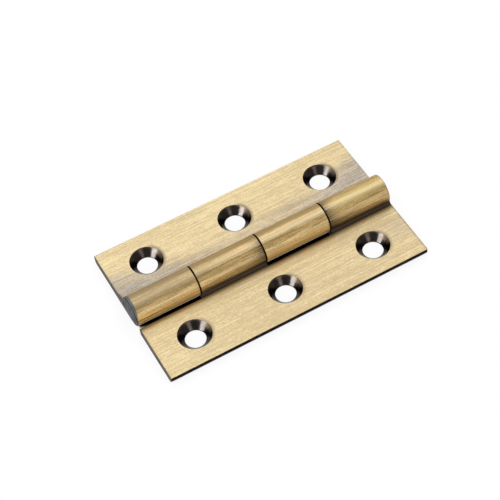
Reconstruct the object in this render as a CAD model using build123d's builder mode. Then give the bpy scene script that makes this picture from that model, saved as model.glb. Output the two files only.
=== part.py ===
from build123d import *
import math
import os

# A drawn brass butt hinge, opened flat. X runs along the pin, +Y to the rear leaf, Z up.
# The origin is in the plane of the undersides, below the middle of the pin. Millimetres.

# Leaves
leaf_length = 64.0
open_width = 38.0
leaf_thickness = 2.0
corner_radius = 0.3
under_edge_radius = 1.3
top_edge_radius = 0.15

# Barrel and knuckles
barrel_diameter = 7.0
root_fillet = 0.6
middle_knuckle_length = 16.2
knuckle_gap = 0.2
notch_relief = 0.65
knuckle_edge_break = 0.12

# Pin
pin_diameter = 3.2
running_clearance = 0.05
rivet_flare = 0.5
rivet_angle = 90.0

# Screw holes
screw_hole_diameter = 4.7
screw_hole_land = 0.25
countersink_angle = 82.0
end_hole_margin = 9.6
holes_per_leaf = 3

# Worked out from the sizes above
barrel_radius = barrel_diameter / 2
axis_height = barrel_radius
half_length = leaf_length / 2
half_width = open_width / 2
pin_radius = pin_diameter / 2
notch_edge = barrel_radius + notch_relief
screw_hole_radius = screw_hole_diameter / 2
countersink_depth = leaf_thickness - screw_hole_land
countersink_radius = screw_hole_radius + countersink_depth * math.tan(math.radians(countersink_angle / 2))
hole_row = (notch_edge + half_width) / 2
hole_pitch = 2 * (half_length - end_hole_margin) / (holes_per_leaf - 1)
rivet_depth = rivet_flare / math.tan(math.radians(rivet_angle / 2))
clear_through = 2 * barrel_diameter

# The root fillet touches the barrel and the top of the leaf; its centre lies beyond the barrel
fillet_rise = leaf_thickness + root_fillet - axis_height
fillet_reach = math.sqrt((barrel_radius + root_fillet) ** 2 - fillet_rise**2)
root_angle = math.degrees(math.atan2(fillet_rise, fillet_reach))

# Each leaf's own knuckles and notches, along X, for the leaf whose end knuckle is at -X
middle_start = knuckle_gap / 2
middle_end = middle_start + middle_knuckle_length
end_knuckle_stop = -(middle_end + knuckle_gap)
knuckle_faces = [(-half_length, 1), (end_knuckle_stop, -1), (middle_start, 1), (middle_end, -1)]
notches = [(end_knuckle_stop, middle_start), (middle_end, half_length + knuckle_gap)]

os.makedirs("parts", exist_ok=True)

# The drawn section: underside, rounded edge, top, root fillet, then round the barrel
with BuildSketch() as drawn_section:
    with BuildLine():
        Line((0, 0), (half_width - under_edge_radius, 0))
        CenterArc((half_width - under_edge_radius, under_edge_radius), under_edge_radius, 270, 90)
        Line((half_width, under_edge_radius), (half_width, leaf_thickness - top_edge_radius))
        CenterArc((half_width - top_edge_radius, leaf_thickness - top_edge_radius), top_edge_radius, 0, 90)
        Line((half_width - top_edge_radius, leaf_thickness), (fillet_reach, leaf_thickness))
        CenterArc((fillet_reach, leaf_thickness + root_fillet), root_fillet, 270, root_angle - 90)
        CenterArc((0, axis_height), barrel_radius, root_angle, 270 - root_angle)
    make_face()


def make_leaf(name, turn, bore_radius):
    """One leaf: the section drawn to length, sawn between its knuckles, bored, drilled and turned."""
    root_side = Plane.XY.offset(axis_height).rotated((root_angle, 0, 0))
    pin_end = Plane((-half_length, 0, axis_height), z_dir=(-1, 0, 0))
    with BuildPart() as leaf:
        with BuildSketch(Plane.YZ):
            add(drawn_section.sketch)
        extrude(amount=half_length, both=True)
        with BuildSketch(Plane.XY):
            RectangleRounded(leaf_length, open_width, corner_radius)
        extrude(amount=clear_through, both=True, mode=Mode.INTERSECT)
        with BuildSketch(Plane.XY):
            for start, stop in notches:
                with Locations(((start + stop) / 2, notch_edge)):
                    Rectangle(stop - start, clear_through, align=(Align.CENTER, Align.MAX))
        extrude(amount=clear_through, both=True, mode=Mode.SUBTRACT)
        with BuildSketch(root_side):
            for face, inward in knuckle_faces:
                with BuildLine():
                    Polyline(
                        (face - inward * knuckle_edge_break, barrel_radius + knuckle_edge_break),
                        (face - inward * knuckle_edge_break, barrel_radius - 2 * knuckle_edge_break),
                        (face + inward * 2 * knuckle_edge_break, barrel_radius + knuckle_edge_break),
                        close=True,
                    )
                make_face()
        revolve(axis=Axis(root_side.origin, (1, 0, 0)), revolution_arc=270 - root_angle, mode=Mode.SUBTRACT)
        with Locations(pin_end):
            CounterSinkHole(bore_radius, bore_radius + rivet_flare, counter_sink_angle=rivet_angle)
        with Locations((0, hole_row, leaf_thickness)):
            with GridLocations(hole_pitch, hole_pitch, holes_per_leaf, 1):
                CounterSinkHole(screw_hole_radius, countersink_radius, counter_sink_angle=countersink_angle)
    turned = leaf.part.rotate(Axis.Z, turn)
    turned.label = name
    export_step(turned, f"parts/{name}.step")


make_leaf("rear_leaf", 0, pin_radius)
make_leaf("front_leaf", 180, pin_radius + running_clearance)

# The pin is a press fit in the rear leaf; both ends are riveted into countersinks and dressed flush
with BuildPart() as pin:
    with BuildSketch(Plane.XZ):
        with BuildLine():
            Polyline(
                (-half_length, axis_height),
                (-half_length, axis_height + pin_radius + rivet_flare),
                (-half_length + rivet_depth, axis_height + pin_radius),
                (half_length - rivet_depth, axis_height + pin_radius),
                (half_length, axis_height + pin_radius + rivet_flare),
                (half_length, axis_height),
                close=True,
            )
        make_face()
    revolve(axis=Axis((0, 0, axis_height), (1, 0, 0)))
pin.part.label = "pin"
export_step(pin.part, "parts/pin.step")
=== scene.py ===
import math

import bpy
from mathutils import Matrix, Vector

# A butt hinge in brushed antique brass: the faces are brushed along the pin, and the old
# black finish stays in the countersinks, on the edges, in the notches and at the knuckle ends.
# In the hinge's own frame lengths are in millimetres and angles in radians.

MM = 0.001

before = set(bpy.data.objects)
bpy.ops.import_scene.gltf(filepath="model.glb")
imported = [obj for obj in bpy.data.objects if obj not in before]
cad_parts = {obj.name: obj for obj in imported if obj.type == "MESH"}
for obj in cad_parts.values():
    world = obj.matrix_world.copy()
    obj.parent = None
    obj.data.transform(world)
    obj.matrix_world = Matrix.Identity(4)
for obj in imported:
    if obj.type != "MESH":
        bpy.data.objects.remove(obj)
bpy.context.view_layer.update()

# Sizes that the finish follows; they are the part's own
LEAF_TOP = 2.0
NOTCH_EDGE = 4.15
AXIS_HEIGHT = 3.5
BARREL_RADIUS = 3.5
RIGHT_END = 32.0
LEFT_END = -RIGHT_END
HOLE_PITCH = 22.4
HOLE_X = (-HOLE_PITCH, 0.0, HOLE_PITCH)
HOLE_ROW = 11.575
COUNTERSINK_RADIUS = 3.87

# Finishes and painted light, as linear colours
WHITE = (1.0, 1.0, 1.0)
LEAF_PALE = (0.83, 0.68, 0.405)
LEAF_DEEP = (0.66, 0.525, 0.305)
LEAF_GREY = (0.49, 0.42, 0.345)
# warmer, darker brass beside the rear leaf's barrel: painted shade
SHADED_BRASS_DEEP = (0.42, 0.335, 0.235)
SHADED_BRASS_PALE = (0.61, 0.505, 0.375)
GREY_DEEP = (0.40, 0.335, 0.265)
GREY_PALE = (0.57, 0.50, 0.42)
# brown along the front leaf's gap: old finish and painted shade
GAP_BROWN_AND_SHADE = (0.30, 0.195, 0.08)
BARREL_PALE = (0.80, 0.56, 0.25)
BARREL_DEEP = (0.40, 0.274, 0.112)
# a painted shade band round the barrel
BARREL_SHADE_BAND = (0.30, 0.18, 0.04)
BARREL_LINE = (0.28, 0.18, 0.07)
BARREL_BACK = (0.42, 0.295, 0.125)
BARREL_GREY = (0.36, 0.285, 0.18)
# a painted reflection: bright warm gold on the rear knuckles' lower front
BARREL_LOW_REFLECTION = (0.93, 0.65, 0.285)
BARREL_YELLOW = (0.78, 0.64, 0.25)
# the pale crown: wear and a painted highlight
WORN_CROWN_HIGHLIGHT = (0.88, 0.725, 0.46)
# the knuckle roots: old finish and painted shade
ROOT_FINISH_AND_SHADE = (0.055, 0.042, 0.032)
PATINA = (0.045, 0.034, 0.026)
SEAM_BROWN = (0.050, 0.035, 0.022)
EDGE_BLACK = (0.010, 0.0085, 0.0075)
END_GREY = (0.112, 0.11, 0.11)
DRESSED_GREY = (0.16, 0.16, 0.163)
# painted shade on the dressed end's edge break
DRESSED_EDGE_SHADE = (0.028, 0.028, 0.029)
COUNTERSINK_DARK = (0.033, 0.026, 0.0225)
# the countersinks' worn rim, and painted light on their right walls
RIM_WEAR_AND_SHEEN = (0.12, 0.09, 0.06)
RIM_SMEAR = (0.30, 0.225, 0.15)
OLD_GLANCE = (0.6, 0.58, 0.56)
SAWN_GLANCE = (0.5, 0.5, 0.52)

# Where the mottle of the leaves turns from the deep colour to the pale one
MOTTLE_DEEP = 0.37
MOTTLE_PALE = 0.69

# Measures in metres
SCRATCH_DEPTH = 0.025 * MM
FLOOR_RADIUS = 6.0
FLOOR_HEIGHT = -0.05 * MM
SHADOW_REACH = 10 * MM
LAMP_DISTANCE = 1.2


class Graph:
    """A node tree with short calls: numbers are set on sockets, outputs are linked to them."""

    def __init__(self, tree):
        self.tree = tree
        self.tree.nodes.clear()

    def put(self, socket, value):
        if isinstance(value, bpy.types.NodeSocket):
            self.tree.links.new(value, socket)
        else:
            socket.default_value = value

    def node(self, kind, **settings):
        made = self.tree.nodes.new(kind)
        for key, value in settings.items():
            setattr(made, key, value)
        return made

    def math(self, operation, *values):
        made = self.node("ShaderNodeMath", operation=operation)
        for socket, value in zip(made.inputs, values):
            self.put(socket, value)
        return made.outputs[0]

    def plus(self, total, *others):
        for other in others:
            total = self.math("ADD", total, other)
        return total

    def minus(self, value, other):
        return self.math("SUBTRACT", value, other)

    def times(self, product, *others):
        for other in others:
            product = self.math("MULTIPLY", product, other)
        return product

    def smooth(self, value, start, stop, low=0.0, high=1.0):
        """A soft step from low, at start, to high, at stop; start may lie above stop."""
        made = self.node("ShaderNodeMapRange", interpolation_type="SMOOTHSTEP")
        for name, number in (
            ("Value", value),
            ("From Min", start),
            ("From Max", stop),
            ("To Min", low),
            ("To Max", high),
        ):
            self.put(made.inputs[name], number)
        return made.outputs["Result"]

    def mix(self, factor, a, b):
        made = self.node("ShaderNodeMix", data_type="RGBA")
        self.put(made.inputs[0], factor)
        for socket, colour in ((made.inputs[6], a), (made.inputs[7], b)):
            self.put(socket, colour if isinstance(colour, bpy.types.NodeSocket) else (*colour, 1.0))
        return made.outputs[2]

    def place(self):
        """The point in the hinge's frame, in millimetres, and its x, y and z."""
        coordinates = self.node("ShaderNodeTexCoord")
        scaled = self.node("ShaderNodeVectorMath", operation="SCALE")
        self.put(scaled.inputs[0], coordinates.outputs["Object"])
        scaled.inputs["Scale"].default_value = 1 / MM
        parts = self.node("ShaderNodeSeparateXYZ")
        self.put(parts.inputs[0], scaled.outputs[0])
        return scaled.outputs[0], parts.outputs[0], parts.outputs[1], parts.outputs[2]

    def round_hole(self, x, own):
        """The distance from the nearest screw hole's axis, and how far that way points to +X."""
        shifted = self.math("MODULO", self.plus(x, 1.5 * HOLE_PITCH), HOLE_PITCH)
        along = self.minus(shifted, 0.5 * HOLE_PITCH)
        across = self.minus(own, HOLE_ROW)
        radius = self.math("SQRT", self.plus(self.times(along, along), self.times(across, across)))
        return radius, self.math("DIVIDE", along, radius)

    def noise(self, point, scale, seed, detail, roughness=0.6):
        stretched = self.node("ShaderNodeVectorMath", operation="MULTIPLY")
        self.put(stretched.inputs[0], point)
        stretched.inputs[1].default_value = scale
        noise = self.node("ShaderNodeTexNoise", noise_dimensions="4D")
        self.put(noise.inputs["Vector"], stretched.outputs[0])
        noise.inputs["W"].default_value = seed
        noise.inputs["Scale"].default_value = 1.0
        noise.inputs["Detail"].default_value = detail
        noise.inputs["Roughness"].default_value = roughness
        return noise.outputs["Fac"]

    def streaks(self, point, along, across, seed, detail=0.0):
        """Noise drawn out along X: its grain is about 1/along mm long and 1/across mm wide."""
        return self.noise(point, (along, across, across), seed, detail)


class Spot:
    """A point on one leaf: where it lies, and the grain that the brushed colours share.

    own is how far it lies from the pin on the leaf's own side, around is its angle round the pin
    from the top towards the front, and rise is its angle round the pin up from that own side.
    upper is 1 at the leaf's upper face and above it, and on_barrel is 1 on the barrel.
    """

    def __init__(self, g, side):
        self.side = side
        self.rear = side > 0
        self.point, self.x, y, z = g.place()
        self.from_middle = g.math("ABSOLUTE", self.x)
        self.own = g.times(y, float(side))
        height = g.minus(z, AXIS_HEIGHT)
        self.around = g.math("ARCTAN2", g.times(y, -1.0), height)
        self.rise = g.math("ARCTAN2", height, self.own)
        self.upper = g.smooth(z, LEAF_TOP - 0.8, LEAF_TOP - 0.1)
        above_leaf = g.smooth(z, LEAF_TOP + 0.2, LEAF_TOP + 0.7)
        self.on_barrel = g.math("MAXIMUM", above_leaf, g.smooth(self.own, 0.8, -0.8))

        self.long_hair = g.streaks(self.point, 0.05, 4.6, 3.1 + side)
        short_hair = g.streaks(self.point, 0.45, 4.6, 6.2 + side)
        self.speck = g.streaks(self.point, 3.0, 4.2, 9.3 + side)
        self.cloudy = g.minus(g.streaks(self.point, 0.05, 0.14, 8.4 + side, detail=2.0), 0.5)
        self.grain = g.plus(
            g.times(self.long_hair, 0.42), g.times(short_hair, 0.30), g.times(self.speck, 0.34)
        )
        self.mottle = g.plus(self.grain, g.times(self.cloudy, 0.25))


def new_material(name):
    material = bpy.data.materials.new(name)
    material.use_nodes = True
    return material, Graph(material.node_tree)


def surface(graph, shader):
    output = graph.node("ShaderNodeOutputMaterial")
    graph.tree.links.new(shader.outputs[0], output.inputs["Surface"])


def metal(graph, colour, roughness, glance=WHITE, scratches=None):
    """Bare metal; glance tints what it reflects at a glancing angle, scratches are its bump."""
    shader = graph.node("ShaderNodeBsdfPrincipled")
    graph.put(shader.inputs["Base Color"], colour)
    graph.put(shader.inputs["Roughness"], roughness)
    shader.inputs["Metallic"].default_value = 1.0
    shader.inputs["Specular Tint"].default_value = (*glance, 1.0)
    if scratches is not None:
        bump = graph.node("ShaderNodeBump")
        bump.inputs["Distance"].default_value = SCRATCH_DEPTH
        graph.put(bump.inputs["Height"], scratches)
        graph.put(shader.inputs["Normal"], bump.outputs[0])
    return shader


def grey_finish_and_shade(g, s, colour):
    """The rear leaf's cast beside the barrel, wider and greyer towards the ends: old finish, and
    painted shade in the middle.
    """
    wider = g.times(g.math("POWER", s.from_middle, 2.0), -0.0055)
    brushed_in = g.minus(g.streaks(s.point, 0.07, 1.3, 23.0, detail=1.0), 0.5)
    drift = g.plus(s.own, wider, g.times(s.cloudy, 8.0), g.times(brushed_in, 6.0))
    cast = g.times(s.upper, g.smooth(drift, 3.0, 9.5, 0.95, 0.0))
    by_end = g.smooth(s.from_middle, 12.0, 24.0)
    # painted shade of warmer, darker brass in the middle, turning to grey old finish towards the
    # ends
    deep = g.mix(by_end, SHADED_BRASS_DEEP, GREY_DEEP)
    pale = g.mix(by_end, SHADED_BRASS_PALE, GREY_PALE)
    grey = g.mix(g.smooth(s.mottle, MOTTLE_DEEP, MOTTLE_PALE), deep, pale)
    colour = g.mix(cast, colour, grey)
    return g.mix(g.times(cast, g.smooth(s.x, -22.0, -30.0, 0.0, 0.14)), colour, PATINA)


def gap_finish_and_shade(g, s, colour):
    """The front leaf's brown along the gap, old finish and painted shade; black at the inner notch,
    grey at the right.
    """
    by_notch = g.times(g.smooth(s.x, -2.0, 2.0), g.smooth(s.x, 18.0, 14.0))
    faded = g.plus(g.times(by_notch, 0.6), NOTCH_EDGE + 1.45)
    # brown along the gap: old finish, darkened further as painted shade of the barrel
    brown = g.smooth(s.own, faded, NOTCH_EDGE + 0.05)
    colour = g.mix(g.times(s.upper, brown), colour, GAP_BROWN_AND_SHADE)
    notch_rim = g.times(by_notch, g.smooth(s.own, NOTCH_EDGE + 0.72, NOTCH_EDGE + 0.05, 0.0, 0.85))
    colour = g.mix(g.times(s.upper, notch_rim), colour, PATINA)
    by_row = g.times(g.smooth(s.own, 15.5, 11.0, 0.0, 0.28), g.smooth(s.own, 6.5, 9.5))
    at_right = g.times(g.smooth(s.x, 23.0, 29.0), by_row)
    return g.mix(g.times(s.upper, at_right), colour, LEAF_GREY)


def leaf_face(g, s):
    """The flat of a leaf: pale and deep hairs under what is left of the old finish, with painted
    shade by the barrel.
    """
    shift = 0.0 if s.rear else 0.05
    mottled = g.smooth(s.mottle, MOTTLE_DEEP + shift, MOTTLE_PALE + shift)
    colour = g.mix(mottled, LEAF_DEEP, LEAF_PALE)
    grey_hair = g.streaks(s.point, 0.07, 1.9, 19.0 + s.side, detail=1.0)
    colour = g.mix(g.smooth(grey_hair, 0.42, 0.28, 0.0, 0.3), colour, LEAF_GREY)
    colour = grey_finish_and_shade(g, s, colour) if s.rear else gap_finish_and_shade(g, s, colour)
    # a smear on one side of the screw holes
    radius, toward_right = g.round_hole(s.x, s.own)
    strength = 0.9 if s.rear else 0.62
    smear = g.times(g.smooth(radius, 4.75, 3.8), g.smooth(toward_right, 0.35, 0.8, 0.0, strength))
    return g.mix(g.times(s.upper, smear), colour, RIM_SMEAR)


def barrel_face(g, s):
    """The barrel: worn pale on the crown under a painted highlight, browner behind it, with dark
    lines along it.
    """
    x, around = s.x, s.around
    fine = g.streaks(s.point, 0.28, 6.0, 17.5 + s.side)
    grain = g.plus(g.times(fine, 0.45), g.times(s.long_hair, 0.30), g.times(s.speck, 0.25))
    colour = g.mix(g.smooth(grain, 0.36, 0.64), BARREL_DEEP, BARREL_PALE)
    behind = g.times(g.smooth(around, 0.0, -0.28, 0.0, 0.85), g.smooth(x, 14.0, 22.0, 1.0, 0.45))
    colour = g.mix(behind, colour, BARREL_BACK)
    # a pale crown, worn and painted as a highlight, and a weaker painted highlight band lower on the
    # front
    crown = g.times(g.smooth(around, -0.26, 0.20), g.smooth(around, 0.54, 0.20))
    crown = g.times(crown, g.smooth(x, -18.0, 18.0, 0.52, 0.78))
    painted_low_highlight = g.times(g.smooth(around, 0.82, 0.96), g.smooth(around, 1.25, 1.0), 0.3)
    colour = g.mix(g.math("MAXIMUM", crown, painted_low_highlight), colour, WORN_CROWN_HIGHLIGHT)
    if s.rear:
        # painted reflection: the lower front made bright warm gold, as if mirroring the front leaf
        painted_lower_reflection = g.times(g.smooth(around, 0.95, 1.7), g.smooth(around, 2.7, 2.1))
        colour = g.mix(painted_lower_reflection, colour, BARREL_LOW_REFLECTION)
    # painted shade: a darker brown band between the crown and the front
    painted_middle_shade = g.times(g.smooth(around, 0.56, 0.66), g.smooth(around, 0.90, 0.72))
    painted_middle_shade = g.times(painted_middle_shade, g.smooth(x, 9.0, 14.0, 0.3, 0.08))
    colour = g.mix(painted_middle_shade, colour, BARREL_SHADE_BAND)
    line = g.streaks(s.point, 0.06, 3.8, 12.5 + s.side, detail=1.0)
    depth = g.smooth(x, -18.0, -2.0, 0.85, 0.42)
    colour = g.mix(g.smooth(line, 0.46, 0.30, 0.0, depth), colour, BARREL_LINE)
    # yellower above at the right, greyer above at the left, browner below at the right
    right_top = g.times(g.smooth(around, 0.75, 0.4, 0.0, 0.3), g.smooth(around, -0.6, -0.1))
    colour = g.mix(g.times(g.smooth(x, 15.0, 21.0), right_top), colour, BARREL_YELLOW)
    left_top = g.smooth(around, 0.95, 0.5, 0.0, 0.45)
    colour = g.mix(g.times(g.smooth(x, -4.0, -24.0), left_top), colour, BARREL_GREY)
    right_low = g.smooth(around, 0.7, 1.0, 0.0, 0.28)
    return g.mix(g.times(g.smooth(x, 12.0, 24.0), right_low), colour, BARREL_LINE)


def root_patina_and_shade(g, s, colour):
    """The old finish in the root of the knuckles, with painted shade where they meet the leaf."""
    # old finish and painted shade in the crease of the root
    low = g.times(g.smooth(s.rise, 0.36, -0.48), s.upper)
    by_root = g.times(
        g.smooth(s.own, NOTCH_EDGE + 0.3, NOTCH_EDGE - 0.2), g.smooth(s.own, 1.5, 2.5)
    )
    return g.mix(g.times(low, by_root), colour, ROOT_FINISH_AND_SHADE)


def seam_finish(g, s, colour):
    """The old finish left on the front leaf's knuckles beside two seams, further out below."""
    left_seam = -0.1
    right_seam = 16.4
    middle = (left_seam + right_seam) / 2
    from_seam = g.minus(g.math("ABSOLUTE", g.minus(s.x, middle)), right_seam - middle)
    reach = g.smooth(s.around, 0.3, 1.3, 5.0, 11.0)
    nearness = g.math("MAXIMUM", g.minus(1.0, g.math("DIVIDE", from_seam, reach)), 0.0)
    at_right = g.smooth(s.x, 7.0, 9.0, 0.0, 0.2)
    strength = g.plus(g.smooth(s.around, -0.25, 0.5, 0.32, 0.72), at_right)
    comb = g.smooth(g.streaks(s.point, 0.06, 5.0, 15.0, detail=1.0), 0.3, 0.7, 0.45, 1.55)
    still_dark = g.times(g.math("POWER", nearness, 3.0), strength, comb, s.on_barrel)
    return g.mix(g.math("MINIMUM", still_dark, 0.92), colour, SEAM_BROWN)


def end_finish(g, s, colour):
    """The old finish in a thin line along the sawn ends."""
    line_width = 1.1 if s.rear else 0.25
    line_from = g.smooth(s.own, 8.0, 4.5, LEFT_END + 0.25, LEFT_END + line_width)
    at_left = g.smooth(s.x, line_from, LEFT_END + 0.12, 0.0, 0.78)
    at_right = g.smooth(s.x, RIGHT_END - 0.55, RIGHT_END - 0.15, 0.0, 0.15 if s.rear else 0.3)
    line = g.times(g.math("MAXIMUM", at_left, at_right), g.minus(1.0, s.on_barrel))
    colour = g.mix(line, colour, PATINA)
    edge = g.smooth(s.from_middle, RIGHT_END - 0.2, RIGHT_END - 0.1, 0.0, 0.7)
    return g.mix(g.times(edge, s.on_barrel), colour, PATINA)


def dressed_end(g, s, colour):
    """The barrel's left end, dressed grey, further in above than in front, with painted shade on its
    edge break.
    """
    grey_to = g.smooth(s.around, 0.5, 1.6, LEFT_END + 0.9, LEFT_END + 0.45)
    dressed = g.smooth(s.x, grey_to, g.minus(grey_to, 0.25))
    # painted shade: the edge break made nearly black so that it does not glint
    rim = g.smooth(s.x, LEFT_END + 0.18, LEFT_END + 0.12)
    return g.mix(g.times(dressed, s.on_barrel), colour, g.mix(rim, DRESSED_GREY, DRESSED_EDGE_SHADE))


def brushed_brass(name, side):
    """Brushed faces of one leaf; side is 1 for the rear leaf and -1 for the front one."""
    material, g = new_material(name)
    s = Spot(g, side)
    colour = g.mix(s.on_barrel, leaf_face(g, s), barrel_face(g, s))
    colour = root_patina_and_shade(g, s, colour)
    if not s.rear:
        colour = seam_finish(g, s, colour)
    colour = end_finish(g, s, colour)
    if s.rear:
        colour = dressed_end(g, s, colour)
    roughness = g.smooth(s.grain, 0.3, 0.7, 0.60, 0.50)
    scratches = g.streaks(s.point, 0.5, 9.0, 1.7, detail=1.0)
    surface(g, metal(g, colour, roughness, scratches=scratches))
    return material


def levelled(colour, level):
    """The colour made darker or lighter."""
    return tuple(level * channel for channel in colour)


def old_finish(name, colour, roughness, glance):
    """The old finish with saw marks drawn out upwards."""
    material, g = new_material(name)
    point = g.place()[0]
    marks = g.noise(point, (1.5, 3.2, 0.5), 5.7, detail=2.0)
    tone = g.mix(g.smooth(marks, 0.36, 0.64), levelled(colour, 0.5), levelled(colour, 1.6))
    surface(g, metal(g, tone, roughness, glance))
    return material


def old_countersink(name):
    """The old finish in the screw holes, worn brown at the rim; on the right, wear with painted
    light.
    """
    material, g = new_material(name)
    point, x, y, _ = g.place()
    radius, toward_right = g.round_hole(x, g.math("ABSOLUTE", y))
    cloud = g.streaks(point, 0.9, 1.3, 5.7, detail=3.0)
    tone = g.mix(g.smooth(cloud, 0.35, 0.7), COUNTERSINK_DARK, levelled(COUNTERSINK_DARK, 1.5))
    rim = g.smooth(radius, COUNTERSINK_RADIUS - 0.4, COUNTERSINK_RADIUS + 0.05, 0.0, 0.6)
    # the right wall: wear, made lighter as painted light where the key lamp falls
    at_right = g.times(g.smooth(toward_right, 0.90, 0.99), g.smooth(radius, 2.8, 3.8, 0.0, 0.95))
    wear = g.math("MAXIMUM", rim, at_right)
    roughness = g.plus(g.times(wear, 0.43), 0.2)
    surface(g, metal(g, g.mix(wear, tone, RIM_WEAR_AND_SHEEN), roughness, OLD_GLANCE))
    return material


rear_brushed = brushed_brass("brushed_rear", 1)
front_brushed = brushed_brass("brushed_front", -1)
edges = old_finish("old_edges", EDGE_BLACK, 0.45, OLD_GLANCE)
ends = old_finish("sawn_ends", END_GREY, 0.5, SAWN_GLANCE)
countersunk = old_countersink("old_countersinks")

BRUSHED, OLD_EDGE, SAWN_END, COUNTERSINK = range(4)


def finish_of(centre, normal, side):
    """Which of a leaf's four finishes a face has."""
    x, y, z = centre.x / MM, side * centre.y / MM, centre.z / MM
    # the walls of the screw holes
    from_hole = min(math.hypot(x - hole, y - HOLE_ROW) for hole in HOLE_X)
    if from_hole < COUNTERSINK_RADIUS + 0.02 and abs(normal.z) < 0.98:
        return COUNTERSINK
    # the walls across the pin, and the broken knuckle edges that face left
    at_end = abs(x) > RIGHT_END - 0.2
    if abs(normal.x) > 0.8:
        return SAWN_END if at_end else OLD_EDGE
    if normal.x < -0.4 and not at_end:
        return OLD_EDGE
    # the walls along the pin, outside the barrel
    from_axis = math.hypot(y, z - AXIS_HEIGHT)
    if from_axis > BARREL_RADIUS + 0.3 and abs(normal.y) > 0.6 and z < LEAF_TOP:
        return OLD_EDGE
    return BRUSHED


for name, side, brushed in (("rear_leaf", 1, rear_brushed), ("front_leaf", -1, front_brushed)):
    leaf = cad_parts[name]
    leaf.data.materials.clear()
    for material in (brushed, edges, ends, countersunk):
        leaf.data.materials.append(material)
    for face in leaf.data.polygons:
        face.material_index = finish_of(face.center, face.normal, side)

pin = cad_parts["pin"]
pin.data.materials.clear()
pin.data.materials.append(ends)


def white_floor(name):
    """White to the camera and in reflections, dark where the hinge closes off the light above it."""
    material, g = new_material(name)
    path = g.node("ShaderNodeLightPath")
    seen = g.math("MAXIMUM", path.outputs["Is Camera Ray"], path.outputs["Is Glossy Ray"])
    seen = g.math("MAXIMUM", seen, path.outputs["Is Transmission Ray"])
    open_sky = g.node("ShaderNodeAmbientOcclusion", samples=64)
    open_sky.inputs["Distance"].default_value = SHADOW_REACH
    light = open_sky.outputs["AO"]
    shade = g.times(g.smooth(light, 0.20, 0.30), g.smooth(light, 0.40, 0.95, 0.93, 1.0))
    # the contact shadow along the barrel, softer in reflections
    _, x, y, _ = g.place()
    across = g.smooth(g.math("ABSOLUTE", y), BARREL_RADIUS + 0.1, BARREL_RADIUS - 1.4)
    along = g.smooth(g.math("ABSOLUTE", x), RIGHT_END - 0.3, RIGHT_END - 1.0)
    shade = g.times(shade, g.minus(1.0, g.times(across, along)))
    mirrored = g.minus(1.0, path.outputs["Is Camera Ray"])
    shade = g.math("MAXIMUM", shade, g.times(mirrored, 0.33))
    white = g.node("ShaderNodeEmission")
    g.put(white.inputs["Strength"], shade)
    plain = g.node("ShaderNodeBsdfDiffuse")
    plain.inputs["Color"].default_value = (0.8, 0.8, 0.8, 1.0)
    both = g.node("ShaderNodeMixShader")
    g.put(both.inputs[0], seen)
    g.put(both.inputs[1], plain.outputs[0])
    g.put(both.inputs[2], white.outputs[0])
    surface(g, both)
    return material


bpy.ops.mesh.primitive_circle_add(
    vertices=64, radius=FLOOR_RADIUS, fill_type="NGON", location=(0, 0, FLOOR_HEIGHT)
)
floor = bpy.context.object
floor.name = "floor"
floor.data.materials.append(white_floor("floor"))

# World: a white band at the horizon, dim above it
world = bpy.data.worlds.new("studio")
bpy.context.scene.world = world
world.use_nodes = True
w = Graph(world.node_tree)
direction = w.node("ShaderNodeTexCoord")
parts = w.node("ShaderNodeSeparateXYZ")
w.put(parts.inputs[0], direction.outputs["Generated"])
background = w.node("ShaderNodeBackground")
w.put(background.inputs["Strength"], w.smooth(parts.outputs[2], 0.17, 0.28, 1.0, 0.58))
w.put(w.node("ShaderNodeOutputWorld").inputs["Surface"], background.outputs[0])


def softbox(name, towards, width, height, level, colour=WHITE):
    """A rectangular lamp of the given radiance, aimed at the hinge; sizes in metres."""
    lamp = bpy.data.lights.new(name, "AREA")
    lamp.shape = "RECTANGLE"
    lamp.size = width
    lamp.size_y = height
    lamp.color = colour
    lamp.energy = level * math.pi * width * height
    placed = bpy.data.objects.new(name, lamp)
    bpy.context.scene.collection.objects.link(placed)
    way = Vector(towards).normalized()
    placed.location = way * LAMP_DISTANCE
    placed.rotation_mode = "QUATERNION"
    placed.rotation_quaternion = way.to_track_quat("Z", "Y")


softbox("overhead", (0.08, 0.50, 0.84), 1.5, 1.3, 1.0)
softbox("key", (-0.922, -0.11, 0.37), 0.62, 0.35, 25.0, (0.84, 0.94, 1.0))
softbox("front", (0.08, -0.90, 0.41), 0.45, 0.3, 3.5)

# Camera: the photograph's, fitted to the leaf edges, the holes and the barrel
IMAGE_PIXELS = 500
FOCAL_PIXELS = 1458.02
SENSOR_WIDTH = 36.0
CAMERA_PLACE = Vector((-80.443, -177.974, 260.227))
CAMERA_RIGHT = Vector((0.871067, -0.485913, -0.071626))
CAMERA_UP = Vector((0.426474, 0.675917, 0.601046))

camera_data = bpy.data.cameras.new("camera")
camera_data.sensor_width = SENSOR_WIDTH
camera_data.lens = SENSOR_WIDTH * FOCAL_PIXELS / IMAGE_PIXELS
camera_data.clip_start = 0.01
camera_data.clip_end = 50.0
camera = bpy.data.objects.new("camera", camera_data)
bpy.context.scene.collection.objects.link(camera)
turn = Matrix((CAMERA_RIGHT, CAMERA_UP, CAMERA_RIGHT.cross(CAMERA_UP))).transposed()
camera.matrix_world = Matrix.Translation(CAMERA_PLACE * MM) @ turn.to_4x4()
bpy.context.scene.camera = camera

bpy.context.scene.view_settings.view_transform = "Standard"
